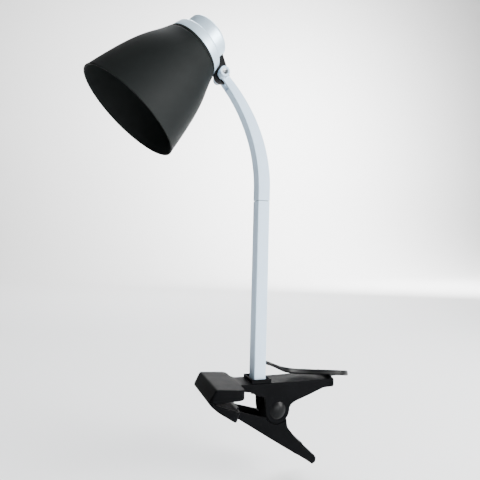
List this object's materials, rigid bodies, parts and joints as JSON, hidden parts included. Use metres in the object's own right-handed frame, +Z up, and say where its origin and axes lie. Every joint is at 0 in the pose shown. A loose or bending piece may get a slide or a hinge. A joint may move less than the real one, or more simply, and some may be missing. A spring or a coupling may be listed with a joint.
{
  "type": "clip on reading lamp",
  "caption": "Reading lamp on a sprung clip: a square arm curves over to a bell shade that tilts on a friction hinge.",
  "frame": {"origin": "centre of the upper jaw's gripping face", "axes": "+Z up along the arm, -X the way the jaws point, Y along the clip's pivot"},
  "size_m": [0.2905, 0.1092, 0.4479],
  "materials": {
    "plastic_black": "moulded black plastic, satin",
    "rubber_pad": "ribbed grip rubber",
    "arm_paint": "silver paint, satin",
    "cap_paint": "silver paint, satin",
    "shade_paint": "matt black paint",
    "bracket_paint": "matt black paint",
    "steel": "zinc-plated steel",
    "spring_steel": "spring steel",
    "zinc_block": "cast zinc",
    "washer": "fibre washer",
    "holder_plastic": "white thermoset",
    "brass_shell": "brass",
    "ring_plastic": "white thermoset",
    "wire_cover": "silicone-covered lead",
    "cord_pvc": "black PVC flex",
    "plug_pvc": "black moulded PVC"
  },
  "bodies": {
    "stand": {"upper_lever": "plastic_black", "pivot_pin": "steel", "pivot_caps": "plastic_black", "clip_spring": "spring_steel", "upper_pad": "rubber_pad", "arm_lower": "arm_paint", "arm_upper": "arm_paint", "arm_spigot": "zinc_block", "arm_anchor": "zinc_block", "arm_screw": "steel", "arm_wire": "cord_pvc", "hinge_bolt": "steel", "hinge_nut": "plastic_black", "hinge_washers": "washer", "cord_gland": "cord_pvc", "cord": "cord_pvc", "cord_coil": "cord_pvc", "coil_tie": "plug_pvc", "cord_tail": "cord_pvc", "plug_relief": "plug_pvc", "plug_body": "plug_pvc", "plug_pins": "steel"},
    "lower_grip": {"lower_lever": "plastic_black", "lower_pad": "rubber_pad"},
    "head": {"tilt_bracket": "bracket_paint", "shade": "shade_paint", "shade_ring": "ring_plastic", "cap": "cap_paint", "lampholder": "holder_plastic", "screw_shell": "brass_shell", "centre_contact": "brass_shell", "terminals": "brass_shell", "holder_screws": "steel", "head_wires": "wire_cover"}
  },
  "joints": [
    {"name": "clip_open", "type": "hinge", "parent": "stand", "child": "lower_grip", "pos_m": [0.0585, 0, -0.02], "axis": [0, -1, 0], "range_deg": [0, 30], "stiffness_Nm_per_rad": 1.2, "springref_deg": -28.65, "deforming": ["clip_spring"]},
    {"name": "head_tilt", "type": "hinge", "parent": "stand", "child": "head", "pos_m": [-0.00537, 0, 0.30616], "axis": [0, 1, 0], "range_deg": [-40, 45]}
  ]
}
